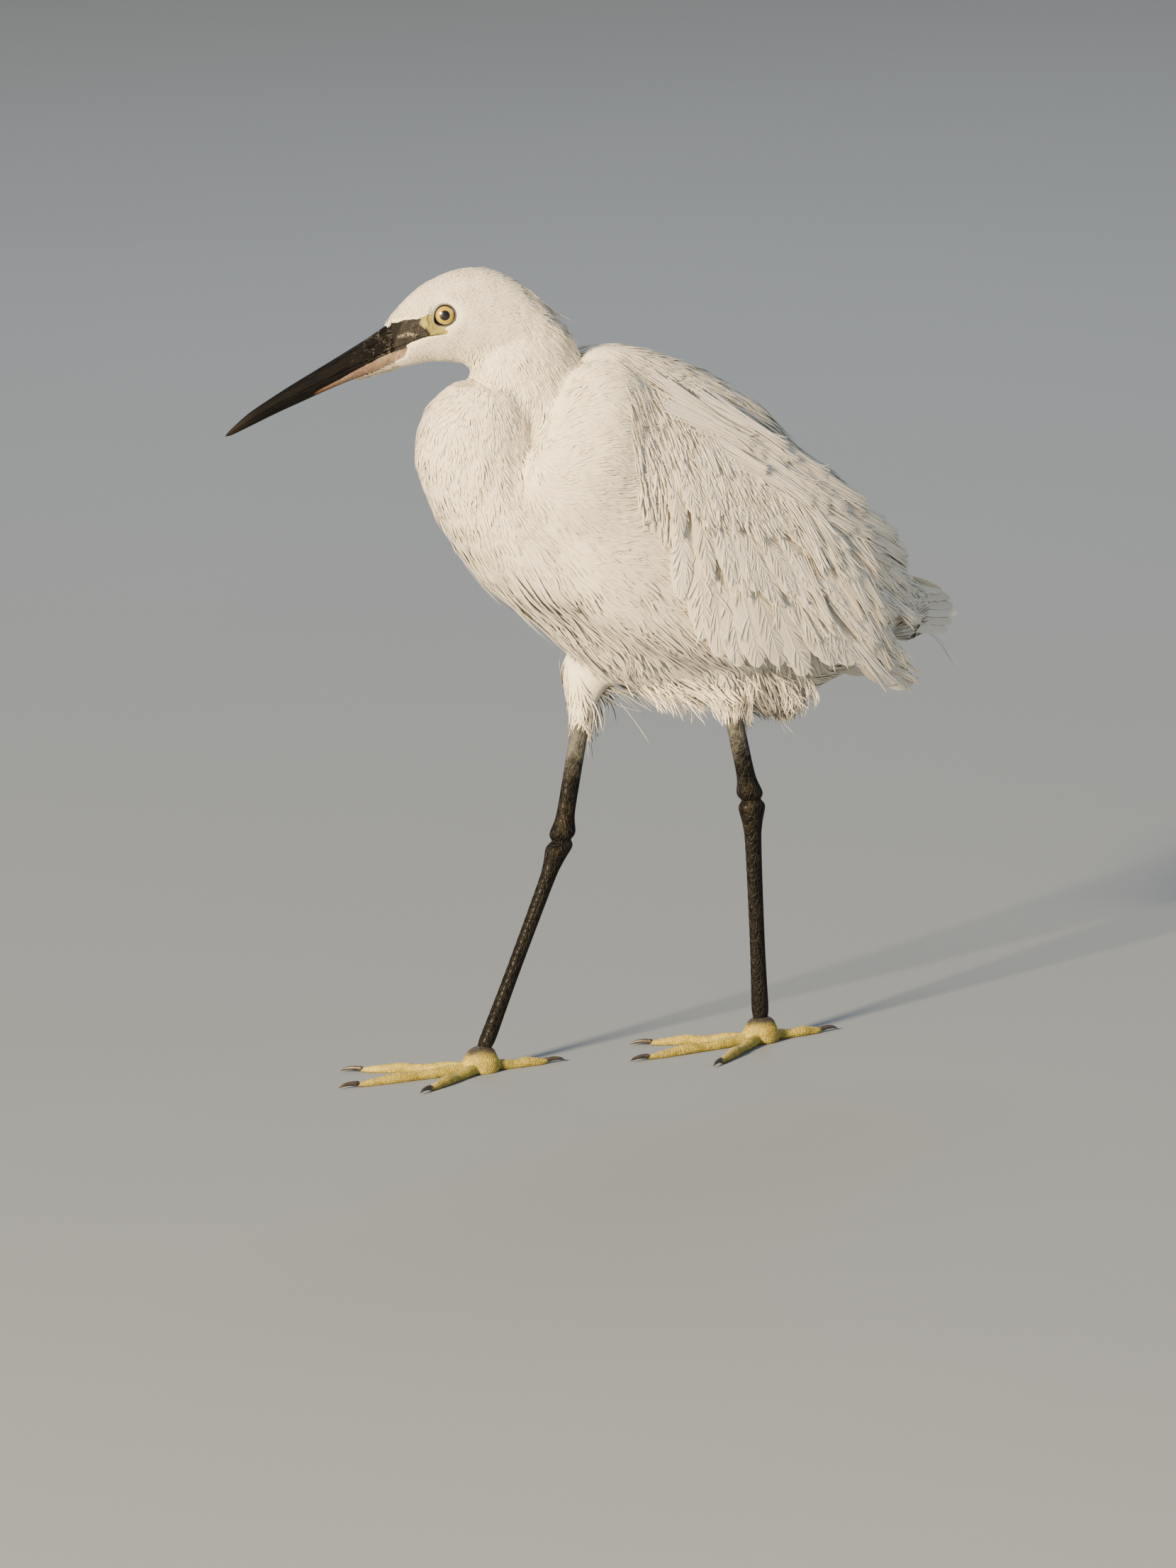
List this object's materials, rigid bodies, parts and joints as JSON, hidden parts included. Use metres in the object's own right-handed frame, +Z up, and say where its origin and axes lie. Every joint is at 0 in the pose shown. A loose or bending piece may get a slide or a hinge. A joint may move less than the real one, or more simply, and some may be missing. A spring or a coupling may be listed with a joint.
{
  "type": "little egret",
  "caption": "Still, life-size model of a standing little egret with its neck drawn in, for a museum case or a scene.",
  "frame": {"origin": "on the floor, under the middle of the bird's bounding box", "axes": "+X the way the body faces, +Y to the bird's left, +Z up"},
  "size_m": [0.3472, 0.1042, 0.3573],
  "materials": {
    "plumage": "soft matte feathers, cream white",
    "bill": "satin black horn, scuffed grey at the base",
    "eye": "wet gloss, pale yellow iris and black pupil",
    "leg": "scaly skin, grey above to near black below",
    "toe": "scaly skin, greenish yellow",
    "claw": "satin dark horn"
  },
  "bodies": {
    "root": {"bill_lower": "bill", "bill_upper": "bill", "claw_left_hind": "claw", "claw_left_inner": "claw", "claw_left_middle": "claw", "claw_left_outer": "claw", "claw_right_hind": "claw", "claw_right_inner": "claw", "claw_right_middle": "claw", "claw_right_outer": "claw", "eye_left": "eye", "eye_right": "eye", "foot_left": "toe", "foot_right": "toe", "head": "plumage", "neck_lower": "plumage", "neck_upper": "plumage", "shin_left": "leg", "shin_right": "leg", "tail": "plumage", "tarsus_left": "leg", "tarsus_right": "leg", "thigh_left": "plumage", "thigh_right": "plumage", "toe_left_hind": "toe", "toe_left_inner": "toe", "toe_left_middle": "toe", "toe_left_outer": "toe", "toe_right_hind": "toe", "toe_right_inner": "toe", "toe_right_middle": "toe", "toe_right_outer": "toe", "torso": "plumage", "wing_left": "plumage", "wing_right": "plumage"}
  },
  "joints": []
}
